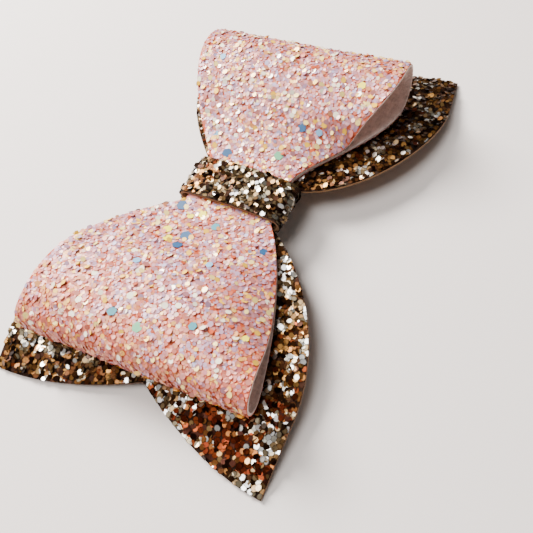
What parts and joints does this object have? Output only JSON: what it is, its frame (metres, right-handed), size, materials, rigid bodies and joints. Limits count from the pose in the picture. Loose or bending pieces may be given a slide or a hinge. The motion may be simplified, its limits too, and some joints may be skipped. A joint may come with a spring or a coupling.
{
  "type": "hair bow",
  "caption": "Layered glitter-fabric hair bow with looped upper band, notched tails and centre wrap, mounted on a lined spring clip that grips the hair.",
  "frame": {"origin": "on the surface that the bow lies on, under the middle of the wrap (bottom centre of the bounding box)", "axes": "+X along the bow towards the loop that sits askew, +Y across the bow, +Z out of the bow's face"},
  "size_m": [0.0896, 0.056, 0.0148],
  "materials": {
    "bronze_glitter": "coarse bronze, gold and champagne glitter flakes on a brown resin coat",
    "pink_glitter": "fine pink, lilac and peach glitter with a few coloured flakes",
    "tan_felt": "short-fibre felt backing with a tan cut edge",
    "pale_felt": "pale pink felt lining",
    "clear_glue": "set hot-melt glue",
    "grosgrain_ribbon": "ribbed grosgrain ribbon",
    "clip_steel": "nickel-plated stamped steel",
    "pin_steel": "plated steel pin",
    "spring_wire": "drawn spring wire"
  },
  "bodies": {
    "bow": {"tail_glitter": "bronze_glitter", "tail_backing": "tan_felt", "loop_glitter": "pink_glitter", "loop_lining": "pale_felt", "wrap_glitter": "bronze_glitter", "wrap_backing": "tan_felt", "loop_glue": "clear_glue", "tail_glue": "clear_glue", "wrap_glue": "clear_glue", "clip_glue": "clear_glue", "clip_ribbon": "grosgrain_ribbon", "clip_upper_plate": "clip_steel", "clip_pin": "pin_steel", "clip_spring": "spring_wire"},
    "jaw": {"clip_lower_jaw": "clip_steel"}
  },
  "joints": [
    {"name": "clip_open", "type": "hinge", "parent": "bow", "child": "jaw", "pos_m": [0.008, 0, 0.002], "axis": [0, -1, 0], "range_deg": [0, 15], "stiffness_Nm_per_rad": 0.08, "springref_deg": -22.92, "deforming": ["clip_spring"]}
  ]
}
